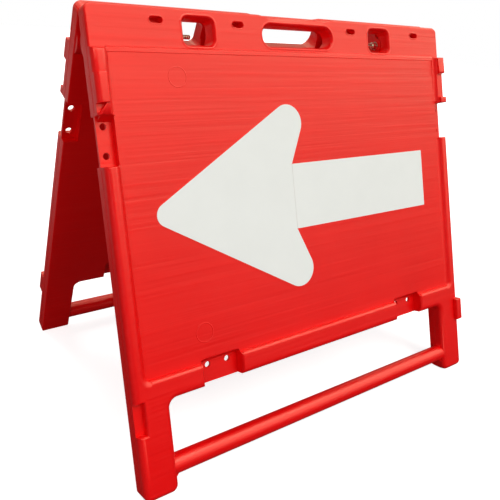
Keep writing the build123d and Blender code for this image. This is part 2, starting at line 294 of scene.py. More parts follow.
@dataclass(frozen=True)
class MouldedPlastic:
    """Coloured polyethylene, blow-moulded, with faint flow lines along the width."""

    name: str = "red_polyethylene"
    colour: Colour = (0.815, 0.0028, 0.0034)
    deep: Colour = (0.770, 0.0018, 0.0026)
    bloom: Colour = (0.835, 0.0080, 0.0070)
    cloud: Layer = Layer((9.0, 9.0, 9.0), 2.0, 0.20, 0.004)
    flow: Layer = Layer((4.0, 150.0, 150.0), 3.0, 0.40, 0.0009)
    streak: Layer = Layer((0.9, 420.0, 420.0), 1.0, 0.30, 0.0004)
    grain: Layer = Layer((1400.0, 1400.0, 1400.0), 2.0, 0.08, 0.0002)
    bloom_share: Ramp = (0.0, 0.7, 0.52, 0.78)
    streak_share: Ramp = (0.5, 0.0, 0.28, 0.45)
    gloss: float = 0.48
    matt: Span = (0.29, 0.37)
    depth: float = 0.35
    depth_reach: float = 0.002
    depth_tint: Colour = (1.0, 0.04, 0.03)

    def material(self) -> Material:
        """Builds the plastic.

        Returns:
            The material.
        """
        w = Paint(bpy.data.materials.new(self.name))
        layers = (self.cloud, self.flow, self.streak, self.grain)
        greys = [w.noise(layer) for layer in layers]
        cloud, flow, streak, _ = greys
        tone = w.blend(w.spread(cloud, 0.0, 1.0), self.colour, self.deep)
        tone = w.blend(w.spread(flow, *self.bloom_share), tone, self.bloom)
        tone = w.blend(w.spread(streak, *self.streak_share), tone, self.deep)
        return w.surface(
            Base_Color=tone, Roughness=w.spread(flow, *self.matt),
            Normal=w.relief(*zip(layers, greys)), Specular_IOR_Level=self.gloss,
            Subsurface_Weight=self.depth, Subsurface_Radius=self.depth_tint,
            Subsurface_Scale=self.depth_reach)


@dataclass(frozen=True)
class ReflectiveSheet:
    """White retroreflective sheeting, with fine beads under a clear face."""

    name: str = "white_reflective_sheet"
    colour: Colour = (0.835, 0.852, 0.838)
    shade: Colour = (0.815, 0.832, 0.818)
    cloud: Layer = Layer((22.0, 22.0, 22.0), 3.0)
    beads: Layer = Layer((1600.0, 1600.0, 1600.0), 0.0, 0.06, 0.0001)
    gloss: float = 0.12
    matt: Span = (0.36, 0.46)

    def material(self) -> Material:
        """Builds the sheet.

        Returns:
            The material.
        """
        w = Paint(bpy.data.materials.new(self.name))
        cloud = w.noise(self.cloud)
        beads = w.node("TexVoronoi", Vector=w.coords(self.beads.waves), Scale=1.0)
        tone = w.blend(w.spread(cloud, 0.0, 1.0), self.colour, self.shade)
        normal = w.relief((self.beads, beads.outputs["Distance"]))
        return w.surface(Base_Color=tone, Roughness=w.spread(cloud, *self.matt), Normal=normal,
                         Specular_IOR_Level=self.gloss)


@dataclass(frozen=True)
class ZincPlate:
    """Zinc-plated steel with a little unevenness."""

    name: str = "zinc_plated_steel"
    colour: Colour = (0.82, 0.81, 0.77)
    dull: Colour = (0.62, 0.61, 0.58)
    cloud: Layer = Layer((260.0, 260.0, 260.0), 4.0)
    grain: Layer = Layer((2400.0, 2400.0, 2400.0), 2.0, 0.12, 0.0001)
    matt: Span = (0.20, 0.34)

    def material(self) -> Material:
        """Builds the plate.

        Returns:
            The material.
        """
        w = Paint(bpy.data.materials.new(self.name))
        cloud = w.noise(self.cloud)
        tone = w.blend(w.spread(cloud, 0.0, 1.0), self.colour, self.dull)
        normal = w.relief((self.grain, w.noise(self.grain)))
        return w.surface(Base_Color=tone, Roughness=w.spread(cloud, *self.matt), Normal=normal,
                         Metallic=1.0)


class Piece:
    """Helpers that make meshes and objects, and tie a finished piece to its body."""

    FLAT = math.radians(0.4)

    @staticmethod
    def linked(name: str, data: bpy.types.ID) -> bpy.types.Object:
        """Makes an object in the scene.

        Args:
            name: Its name.
            data: Its mesh, lamp or camera.

        Returns:
            The object.
        """
        made = bpy.data.objects.new(name, data)
        bpy.context.scene.collection.objects.link(made)
        return made

    @staticmethod
    def plain(holder: bpy.types.Object) -> Mesh:
        """Turns an object and its modifiers into a plain mesh, and removes the object.

        Args:
            holder: The object.

        Returns:
            The mesh.
        """
        graph = bpy.context.evaluated_depsgraph_get()
        mesh = bpy.data.meshes.new_from_object(holder.evaluated_get(graph))
        holder.modifiers.clear()
        bpy.data.objects.remove(holder)
        return mesh

    @staticmethod
    def seed(name: str, points: Iterable[Vector], edges: Iterable[tuple[int, int]] = ()) -> Mesh:
        """Makes a mesh of points and edges that a tree can start from.

        Args:
            name: Its name.
            points: Its points.
            edges: The pairs of points that are joined.

        Returns:
            The mesh.
        """
        mesh = bpy.data.meshes.new(name)
        mesh.from_pydata(list(points), list(edges), [])
        return mesh

    @staticmethod
    def opened(mesh: Mesh) -> Shape:
        """Opens a copy of a mesh for work, and joins its loose triangles.

        Args:
            mesh: The mesh, which stays as it is.

        Returns:
            The working copy.
        """
        made = bmesh.new()
        made.from_mesh(mesh)
        bmesh.ops.remove_doubles(made, verts=made.verts, dist=WELD)
        return made

    @staticmethod
    def closed(made: Shape, mesh: Mesh) -> Mesh:
        """Ends the work on a copy.

        Args:
            made: The working copy.
            mesh: The mesh that takes its geometry.

        Returns:
            That mesh.
        """
        made.to_mesh(mesh)
        made.free()
        return mesh

    @staticmethod
    def flatten(made: Shape) -> None:
        """Makes one face of the triangles of each flat."""
        bmesh.ops.dissolve_limit(made, angle_limit=Piece.FLAT, verts=made.verts, edges=made.edges)

    @staticmethod
    def shade(made: Shape, crease: float) -> None:
        """Shades geometry smooth, but for its sharp edges.

        Args:
            made: The geometry.
            crease: The angle in degrees from which an edge is sharp.
        """
        for face in made.faces:
            face.smooth = True
        for edge in made.edges:
            edge.smooth = edge.calc_face_angle(0.0) < math.radians(crease)

    @staticmethod
    def smooth(mesh: Mesh, crease: float) -> Mesh:
        """Shades a mesh as shade() does, and turns its faces outwards.

        Args:
            mesh: The mesh.
            crease: The angle in degrees from which an edge is sharp.

        Returns:
            The same mesh.
        """
        made = bmesh.new()
        made.from_mesh(mesh)
        bmesh.ops.recalc_face_normals(made, faces=made.faces)
        Piece.shade(made, crease)
        return Piece.closed(made, mesh)

    @staticmethod
    def finish(name: str, mesh: Mesh, body: Body, slot: Slot, material: Material,
               node: str = "") -> None:
        """Makes a piece that rides on a body.

        Args:
            name: The piece's name.
            mesh: Its mesh, with its place in it.
            body: The body that carries it.
            slot: The record's material slot, which is not used.
            material: Its material.
            node: The CAD node that it stands for, if any.
        """
        made = Piece.linked(name, mesh)
        mesh.materials.clear()
        mesh.materials.append(material)
        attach(made, body.value)
        if node:
            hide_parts(node)
        LOG.info("%s: %d faces on %s", name, len(mesh.polygons), body.value)


class GrowthTree(Wiring):
    """Builds a Geometry Nodes tree by short calls, and grows meshes from it."""

    PREFIX = "GeometryNode"

    def __init__(self, name: str, **sizes: float | Point) -> None:
        """Starts a tree with named inputs.

        Args:
            name: The tree's name.
            sizes: The tree's inputs and their usual values.
        """
        super().__init__(bpy.data.node_groups.new(name, "GeometryNodeTree"))
        face = self.tree.interface
        face.new_socket("Geometry", in_out="OUTPUT", socket_type="NodeSocketGeometry")
        face.new_socket("Geometry", in_out="INPUT", socket_type="NodeSocketGeometry")
        for key, value in sizes.items():
            kind = "NodeSocketVector" if isinstance(value, tuple) else "NodeSocketFloat"
            face.new_socket(key, in_out="INPUT", socket_type=kind).default_value = value
        face.new_socket("Material", in_out="INPUT", socket_type="NodeSocketMaterial")
        self.source = self.tree.nodes.new("NodeGroupInput").outputs

    def add(self, kind: str, settings: dict[str, object] | None = None,
            **values: object) -> Socket:
        """Adds a node as node() does, and gives its first output."""
        return self.node(kind, settings, **values).outputs[0]

    def path(self) -> Socket:
        """Makes curves of the seed's edges."""
        return self.add("MeshToCurve", Mesh=self.source["Geometry"])

    def upright(self, curve: Socket) -> Socket:
        """Turns a curve's sections the same way up all along it."""
        return self.add("SetCurveNormal", {"mode": "Z_UP"}, Curve=curve)

    def rounded(self, curve: Socket, size: str, steps: int) -> Socket:
        """Rounds a curve's corners by one of the tree's sizes."""
        return self.add("FilletCurve", {"mode": "POLY"}, Curve=curve, Count=steps,
                        Radius=self.source[size], Limit_Radius=True)

    def circle(self, size: str, steps: int) -> Socket:
        """Makes a circle of one of the tree's sizes."""
        return self.add("CurvePrimitiveCircle", Resolution=steps, Radius=self.source[size])

    def swept(self, curve: Socket, section: Socket, caps: bool = True) -> Socket:
        """Sweeps a section along a curve."""
        return self.add("CurveToMesh", Curve=curve, Profile_Curve=section, Fill_Caps=caps)

    def on_points(self, shape: Socket) -> Socket:
        """Sets a shape on each of the seed's points."""
        spots = self.add("MeshToPoints", Mesh=self.source["Geometry"])
        return self.add("InstanceOnPoints", Points=spots, Instance=shape)

    def end(self, geometry: Socket) -> "GrowthTree":
        """Ends the tree in real geometry with its material, and gives the tree."""
        real = self.add("RealizeInstances", Geometry=geometry)
        dressed = self.add("SetMaterial", Geometry=real, Material=self.source["Material"])
        self.feed(self.tree.nodes.new("NodeGroupOutput").inputs[0], dressed)
        return self

    def grow(self, name: str, seed: Mesh, material: Material, **sizes: float | Point) -> Mesh:
        """Runs the tree on a mesh.

        Args:
            name: The new mesh's name.
            seed: The mesh that the tree starts from.
            material: The new mesh's material.
            sizes: Inputs that differ from the usual values.

        Returns:
            A plain mesh.
        """
        holder = Piece.linked(name + "_seed", seed)
        modifier = holder.modifiers.new("grow", "NODES")
        modifier.node_group = self.tree
        inputs = {item.name: item.identifier for item in self.tree.interface.items_tree
                  if item.in_out == "INPUT"}
        for key, value in {"Material": material, **sizes}.items():
            modifier[inputs[key]] = value
        mesh = Piece.plain(holder)
        mesh.name = name
        return mesh


@dataclass(frozen=True)
class PanelPlace:
    """Where a panel is: places are across it, down from its top and out from its inner face."""

    body: Body
    hinge_drop: float = 27.0
    hinge_offset: float = 7.0

    def point(self, across: float, drop: float, depth: float) -> Vector:
        """Gives the place in the frame, in metres, of a place on the panel, in millimetres.

        Args:
            across: The place across the panel from its middle.
            drop: The place down from the top edge.
            depth: The place out from the inner face.

        Returns:
            The place in the frame.
        """
        lean = math.radians(FOLD["range_deg"][1] / 2)
        out = self.hinge_offset + depth
        rise = self.hinge_drop - drop
        back = rise * math.sin(lean) - out * math.cos(lean)
        up = rise * math.cos(lean) + out * math.sin(lean)
        sign = -1.0 if self.body is Body.REAR else 1.0
        return Vector((sign * across, sign * back, up)) * MM + HINGE

    def turn(self) -> Matrix:
        """Gives the panel's own axes.

        Returns:
            Columns across the panel, up its face and out of it.
        """
        start = self.point(*ORIGIN)
        ends = (self.point(1.0, 0.0, 0.0), self.point(0.0, -1.0, 0.0), self.point(0.0, 0.0, 1.0))
        return Matrix([(end - start) / MM for end in ends]).transposed()

    def move(self, depth: float = 0.0) -> Matrix:
        """Gives the move from the panel's flat axes to its place, at a depth."""
        return Matrix.Translation(self.point(0.0, 0.0, depth)) @ self.turn().to_4x4()


@dataclass(frozen=True)
class Section:
    """A four-cornered section: corners are right of a run and out from the panel's inner face."""

    corners: tuple[Span, Span, Span, Span]
    rounding: float

    ROUND_STEPS = 5
    CORNERS = ("Corner_1", "Corner_2", "Corner_3", "Corner_4")

    @classmethod
    def tree(cls) -> GrowthTree:
        """Builds the tree that runs a section along edges.

        Returns:
            The tree.
        """
        tree = GrowthTree("section_along_edges", **dict.fromkeys(cls.CORNERS, ORIGIN),
                          Rounding=1.0 * MM)
        points = {key.replace("Corner", "Point"): tree.source[key] for key in cls.CORNERS}
        outline = tree.add("CurvePrimitiveQuadrilateral", {"mode": "POINTS"}, **points)
        soft = tree.rounded(outline, "Rounding", cls.ROUND_STEPS)
        return tree.end(tree.swept(tree.upright(tree.path()), soft))

    def sizes(self) -> Sizes:
        """Gives the section as inputs of its tree."""
        spots = [(right * MM, -out * MM, 0.0) for right, out in self.corners]
        return {**dict(zip(self.CORNERS, spots)), "Rounding": self.rounding * MM}


@dataclass(frozen=True)
class Cove:
    """A hollow round in an inner corner: its middle and heel are placed as a section's corners."""

    radius: float
    middle: Span
    heel: Span
    sweep: float
    start: float = 90.0

    ARC_STEPS = 10

    @classmethod
    def tree(cls) -> GrowthTree:
        """Builds the tree that runs a cove along edges.

        Returns:
            The tree.
        """
        tree = GrowthTree("cove_along_edges", Middle=ORIGIN, Heel=ORIGIN, Radius=7.0 * MM,
                          Start=1.5, Sweep=1.0)
        arc = tree.add("CurveArc", {"mode": "RADIUS"}, Resolution=cls.ARC_STEPS,
                       Radius=tree.source["Radius"], Start_Angle=tree.source["Start"],
                       Sweep_Angle=tree.source["Sweep"], Connect_Center=True)
        moved = tree.add("SetPosition", Geometry=arc, Offset=tree.source["Middle"])
        last = tree.add("CurveEndpointSelection", Start_Size=0, End_Size=1)
        heeled = tree.add("SetPosition", Geometry=moved, Selection=last,
                          Position=tree.source["Heel"])
        return tree.end(tree.swept(tree.upright(tree.path()), heeled))

    def sizes(self) -> Sizes:
        """Gives the cove as inputs of its tree."""
        middle, heel = ((right * MM, -out * MM, 0.0) for right, out in (self.middle, self.heel))
        return {"Middle": middle, "Heel": heel, "Radius": self.radius * MM,
                "Start": math.radians(self.start), "Sweep": math.radians(self.sweep)}


@dataclass(frozen=True)
class Rim:
    """A raised rim round openings in the band, all at one height."""

    places: tuple[float, ...]
    drop: float
    size: Span
    corner: float
    radius: float
    proud: float

    CORNER_STEPS = 8
    LINE_STEPS = 12

    @classmethod
    def tree(cls) -> GrowthTree:
        """Builds the tree that sets a long round rim on each point of a mesh.

        Returns:
            The tree.
        """
        tree = GrowthTree("rim_on_points", Width=19.0 * MM, Height=9.0 * MM, Corner=4.5 * MM,
                          Line=1.1 * MM)
        outline = tree.add("CurvePrimitiveQuadrilateral", Width=tree.source["Width"],
                           Height=tree.source["Height"])
        soft = tree.rounded(outline, "Corner", cls.CORNER_STEPS)
        rim = tree.swept(soft, tree.circle("Line", cls.LINE_STEPS), False)
        return tree.end(tree.on_points(rim))

    def sizes(self) -> Sizes:
        """Gives the rim as inputs of its tree."""
        width, height = self.size
        return {"Width": width * MM, "Height": height * MM, "Corner": self.corner * MM,
                "Line": self.radius * MM}


Form = Section | Cove | Rim
Forms = dict[str, tuple[Form, list[Span]]]
Trees = dict[type, GrowthTree]


@dataclass
class MouldedEdges:
    """A panel's soft edges, with their places across it and down from its top."""

    place: PanelPlace
    plastic: Material
    left_cove: Cove = Cove(4.0, (2.55, 25.47), (-2.5, 17.5), 68.0)
    right_cove: Cove = Cove(10.0, (5.75, 31.47), (-2.5, 17.5), 56.0)
    lip: Section = Section(((4.22, 11.5), (-1.93, 27.985), (-16.0, 27.985), (-16.0, 25.5)), 4.5)
    bead: Section = Section(((3.4, 18.6), (-0.4, 21.75), (-4.8, 21.95), (-6.2, 20.9)), 0.6)
    notch_draft: Section = Section(((0.3, 21.35), (-7.6, 11.0), (-3.0, 9.5), (0.3, 9.5)), 0.3)
    web_draft: Section = Section(((0.3, 24.5), (-7.2, 11.0), (-3.0, 9.5), (0.3, 9.5)), 0.3)
    rest_round: Cove = Cove(6.5, (6.45, 24.05), (-0.6, 31.2), 90.0, 180.0)
    pad_slope: Section = Section(((26.0, 28.5), (26.0, 32.0), (1.0, 32.0), (1.0, 30.6)), 0.1)
    slot_rim: Rim = Rim((-215.0, -100.0, 100.0, 240.0), 15.4, (19.4, 9.4), 4.55, 1.4, 0.45)
    window_rim: Rim = Rim((-158.5, 158.5), 26.45, (49.4, 38.9), 10.7, 2.2, 0.75)
    handle_rim: Rim = Rim((0.0,), 26.5, (128.4, 34.4), 16.7, 2.2, 0.75)
    band_depth: float = 19.0
    flange: float = 282.0
    flange_drops: tuple[float, ...] = (50.5, 120.0, 181.3, 431.0)
    ledge: tuple[float, ...] = (276.0, 208.4, 145.6)
    ledge_drop: float = 428.5
    band_end: float = 281.0
    band_drop: float = 48.6
    notch_wall: Span = (207.4, 146.6)
    notch_drop: float = 424.5
    web_wall: Span = (280.0, 297.4)
    web_drop: float = 122.4
    rest_edge: float = 300.0
    rest_drops: Span = (112.0, 74.0)
    pad: Span = (301.0, 285.4)
    pad_drop: float = 75.0
    crease: float = 60.0

    @staticmethod
    def row(form: Form, places: Iterable[float], drop: float) -> tuple[Form, list[Span]]:
        """Sets a form on places in a row across the panel."""
        return form, [(across, drop) for across in places]

    @staticmethod
    def column(form: Form, across: float, drops: Iterable[float]) -> tuple[Form, list[Span]]:
        """Sets a form on places in a column down the panel."""
        return form, [(across, drop) for drop in drops]

    def joined(self) -> Forms:
        """Lists what is joined to the panel.

        Returns:
            Each form with the ends of its runs, or with the rims' middles. A run down the panel
            has the face on its right, and a run across it goes from right to left.
        """
        ledge = (*self.ledge, *(-across for across in reversed(self.ledge)))
        walls = (*self.notch_wall, *(-across for across in reversed(self.notch_wall)))
        rims = {"slots": self.slot_rim, "windows": self.window_rim, "handle": self.handle_rim}
        return {
            "left_coves": self.column(self.left_cove, -self.flange, reversed(self.flange_drops)),
            "right_coves": self.column(self.right_cove, self.flange, self.flange_drops),
            "lips": self.row(self.lip, ledge, self.ledge_drop),
            "bead": self.row(self.bead, (self.band_end, -self.band_end), self.band_drop),
            "notches": self.row(self.notch_draft, walls, self.notch_drop),
            "web": self.row(self.web_draft, (-end for end in self.web_wall), self.web_drop),
            **{key: self.row(rim, rim.places, rim.drop) for key, rim in rims.items()},
        }

    def cut(self) -> Forms:
        """Lists what is cut from the stacking pads, as joined() does."""
        return {"rest_round": self.column(self.rest_round, -self.rest_edge, self.rest_drops),
                "pad_slope": self.row(self.pad_slope, self.pad, self.pad_drop)}

    def meshes(self, trees: Trees, forms: Forms) -> list[Mesh]:
        """Grows forms in the panel's place.

        Args:
            trees: The tree for each kind of form.
            forms: The forms and their places.

        Returns:
            Closed meshes.
        """
        made = []
        for key, (form, places) in forms.items():
            name = f"{self.place.body.label}_{key}"
            rim = isinstance(form, Rim)
            level = self.band_depth - form.radius + form.proud if rim else 0.0
            points = [Vector((across, -drop, level)) * MM for across, drop in places]
            edges = [] if rim else [(index, index + 1) for index in range(0, len(points), 2)]
            seed = Piece.seed(name + "_places", points, edges)
            mesh = trees[type(form)].grow(name, seed, self.plastic, **form.sizes())
            mesh.transform(self.place.move())
            made.append(Piece.smooth(mesh, self.crease))
        return made


@dataclass
class MouldedPanel:
    """One hollow panel, with its solid's triangles joined and its rounds shaded smooth."""

    place: PanelPlace
    plastic: Material
    crease: float = 50.0
    face_weight: int = 90

    def moulded(self, edges: list[Mesh], cutters: list[Mesh]) -> Mesh:
        """Moulds the soft edges to the plain panel.

        Args:
            edges: Closed meshes that are joined to the panel.
            cutters: Closed meshes that are cut from it.

        Returns:
            One mesh of clean faces, with its sharp edges marked.
        """
        name = self.place.body.label
        solid = Piece.opened(frame["nodes"][name + "_panel"].data)
        rough = Piece.linked(name + "_rough",
                             Piece.closed(solid, bpy.data.meshes.new(name + "_blank")))
        helpers = [Piece.linked(mesh.name + "_helper", mesh) for mesh in (*edges, *cutters)]
        for index, helper in enumerate(helpers):
            step = rough.modifiers.new("step", "BOOLEAN")
            step.operation = "UNION" if index < len(edges) else "DIFFERENCE"
            step.solver, step.object = "EXACT", helper
        mesh = Piece.plain(rough)
        for helper in helpers:
            bpy.data.objects.remove(helper)
        made = Piece.opened(mesh)
        Piece.flatten(made)
        Piece.shade(made, self.crease)
        return Piece.closed(made, mesh)

    def build(self, trees: Trees) -> None:
        """Builds the panel.

        Args:
            trees: The tree for each kind of soft edge.
        """
        body = self.place.body
        soft = MouldedEdges(self.place, self.plastic)
        edges, cutters = (soft.meshes(trees, forms) for forms in (soft.joined(), soft.cut()))
        holder = Piece.linked(body.label + "_even", self.moulded(edges, cutters))
        even = holder.modifiers.new("even", "WEIGHTED_NORMAL")
        even.keep_sharp = True
        even.weight = self.face_weight
        Piece.finish(body.label + "_moulding", Piece.plain(holder), body, Slot.PLASTIC,
                     self.plastic, body.label + "_panel")


@dataclass
class MouldMarks:
    """What the mould leaves on a panel: the parting line round its rim and its vents' rings."""

    place: PanelPlace
    plastic: Material
    half_width: float = 300.0
    line_depth: float = 13.0
    line_radius: float = 0.7
    line_proud: float = 0.3
    line_bend: float = 20.0
    grip: tuple[float, float, float] = (52.0, 66.0, 2.0)
    corner: float = 16.0
    web: Span = (119.0, 182.0)
    foot_drop: float = 558.0
    leg_inside: float = 255.3
    leg_run: Span = (474.0, 524.0)
    sill_drop: float = 458.7
    notch: Span = (144.0, 210.0)
    arch: float = 240.0
    face_depth: float = 21.5
    ring_across: float = -196.0
    ring_drops: Span = (81.0, 392.0)
    ring_radius: float = 12.0
    ring_line: float = 0.9
    ring_proud: float = 0.28
    crease: float = 60.0

    BEND_STEPS = 6
    RING_STEPS = 64
    LINE_STEPS = 10

    @classmethod
    def ridge_tree(cls) -> GrowthTree:
        """Builds the tree that runs a round ridge along edges.

        Returns:
            The tree.
        """
        tree = GrowthTree("ridge_along_edges", Ridge=0.7 * MM, Bend=20.0 * MM)
        bent = tree.rounded(tree.path(), "Bend", cls.BEND_STEPS)
        return tree.end(tree.swept(bent, tree.circle("Ridge", cls.LINE_STEPS)))

    @classmethod
    def ring_tree(cls) -> GrowthTree:
        """Builds the tree that sets a round ring on each point of a mesh.

        Returns:
            The tree.
        """
        tree = GrowthTree("ring_on_points", Ring=12.0 * MM, Line=0.9 * MM)
        circle, section = tree.circle("Ring", cls.RING_STEPS), tree.circle("Line", cls.LINE_STEPS)
        return tree.end(tree.on_points(tree.swept(circle, section, False)))

    def runs(self) -> list[list[Span]]:
        """Lists the parting line's runs as places across and down the panel.

        Returns:
            The runs, sunk so that the line stands proud by the right height.
        """
        sunk = self.line_radius - self.line_proud
        side, far = self.half_width - sunk, self.half_width - self.corner
        inside, sill = self.leg_inside + sunk, self.sill_drop - sunk
        low, high, dip = self.grip[0], self.grip[1], self.grip[2] + sunk
        near, wide = self.notch
        runs = [[(-far, sunk), (-high, sunk), (-low, dip), (low, dip), (high, sunk), (far, sunk)]]
        for sign in (-1.0, 1.0):
            runs += [[(sign * side, self.corner), (sign * side, self.web[0])],
                     [(sign * side, self.web[1]), (sign * side, self.foot_drop)],
                     [(sign * inside, drop) for drop in self.leg_run],
                     [(sign * wide, sill), (sign * self.arch, sill)]]
        return runs + [[(-near, sill), (near, sill)]]

    def add(self, mesh: Mesh) -> None:
        """Makes a piece of a mesh."""
        Piece.finish(mesh.name, Piece.smooth(mesh, self.crease), self.place.body, Slot.PLASTIC,
                     self.plastic)

    def build(self, ridges: GrowthTree, rings: GrowthTree) -> None:
        """Builds the parting line and the rings.

        Args:
            ridges: The tree for the parting line.
            rings: The tree for the rings.
        """
        name = self.place.body.label
        points, edges = [], []
        for run in self.runs():
            first = len(points)
            points += [self.place.point(*spot, self.line_depth) for spot in run]
            edges += [(index, index + 1) for index in range(first, len(points) - 1)]
        self.add(ridges.grow(name + "_parting_line", Piece.seed(name + "_runs", points, edges),
                             self.plastic, Ridge=self.line_radius * MM,
                             Bend=self.line_bend * MM))
        spots = [Vector((self.ring_across, -drop, 0.0)) * MM for drop in self.ring_drops]
        mesh = rings.grow(name + "_vent_rings", Piece.seed(name + "_spots", spots), self.plastic,
                          Ring=self.ring_radius * MM, Line=self.ring_line * MM)
        mesh.transform(self.place.move(self.face_depth - self.ring_line + self.ring_proud))
        self.add(mesh)


@dataclass
class ArrowSheet:
    """One cut sheet of the arrow, with its front edge a little rounded by the knife."""

    node: str
    edge: float = 0.14
    edge_steps: int = 2
    edge_profile: float = 0.5
    crease: float = 15.0

    def build(self, sheet: Material) -> None:
        """Builds the sheet.

        Args:
            sheet: Its material.
        """
        name = self.node + "_sheet"
        out = PanelPlace(Body.FRONT).turn().col[2]
        made = Piece.opened(frame["nodes"][self.node].data)
        Piece.flatten(made)
        made.normal_update()
        front = max(made.faces, key=lambda face: face.normal.dot(out))
        bmesh.ops.bevel(made, geom=list(front.edges), offset=self.edge * MM,
                        segments=self.edge_steps, profile=self.edge_profile, affect="EDGES")
        mesh = Piece.smooth(Piece.closed(made, bpy.data.meshes.new(name)), self.crease)
        Piece.finish(name, mesh, Body.FRONT, Slot.SHEET, sheet, self.node)


@dataclass(frozen=True)
class Hexagon:
    """A hexagon across the hinge axis, with its corners turned off towards a round crown."""

    width: float = 10.0
    crown: float = 4.85
    slope: float = 30.0

    def reach(self, angle: float) -> float:
        """Gives the radius at an angle from a corner."""
        return self.width / 2 / math.cos(angle % (math.pi / 3) - math.pi / 6)

    def drop(self, angle: float) -> float:
        """Gives how far the turned slope comes down the flats at an angle from a corner."""
        return (self.reach(angle) - self.crown) * math.tan(math.radians(self.slope))


@dataclass(frozen=True)
class Turning:
    """A shape of rings round the hinge axis, in millimetres from a start towards the middle."""

    side: Side
    start: float
    steps: int = 60
    crease: float = 28.0

    def place(self, along: float) -> Vector:
        """Gives the place in the frame, in metres, of a length along the axis."""
        return Vector(((along * MM - self.start) * self.side.value, 0.0, 0.0)) + HINGE

    def ring(self, shape: Shape, along: Rule, radius: Rule) -> list[bmesh.types.BMVert]:
        """Adds a ring to a shape.

        Args:
            shape: The shape.
            along: The ring's place from the start, or a rule for it by angle.
            radius: Its radius, or a rule for it by angle.

        Returns:
            The ring's points.
        """
        made = []
        for step in range(self.steps):
            angle = math.tau * step / self.steps
            x, r = (rule(angle) if callable(rule) else rule for rule in (along, radius))
            arm = Vector((0.0, r * math.cos(angle), r * math.sin(angle))) * MM
            made.append(shape.verts.new(self.place(x) + arm))
        return made

    def mesh(self, name: str, rings: Iterable[tuple[Rule, Rule]], hollow: bool) -> Mesh:
        """Joins rings into a closed mesh.

        Args:
            name: The mesh's name.
            rings: The rings' places and radii.
            hollow: Whether the last ring meets the first, and otherwise both ends are closed.

        Returns:
            The mesh.
        """
        shape = bmesh.new()
        made = [self.ring(shape, along, radius) for along, radius in rings]
        for one, other in zip(made, made[1:] + made[:1] if hollow else made[1:]):
            for step in range(self.steps):
                after = (step + 1) % self.steps
                shape.faces.new((one[step], one[after], other[after], other[step]))
        if not hollow:
            shape.faces.new(made[0])
            shape.faces.new(list(reversed(made[-1])))
        return Piece.smooth(Piece.closed(shape, bpy.data.meshes.new(name)), self.crease)


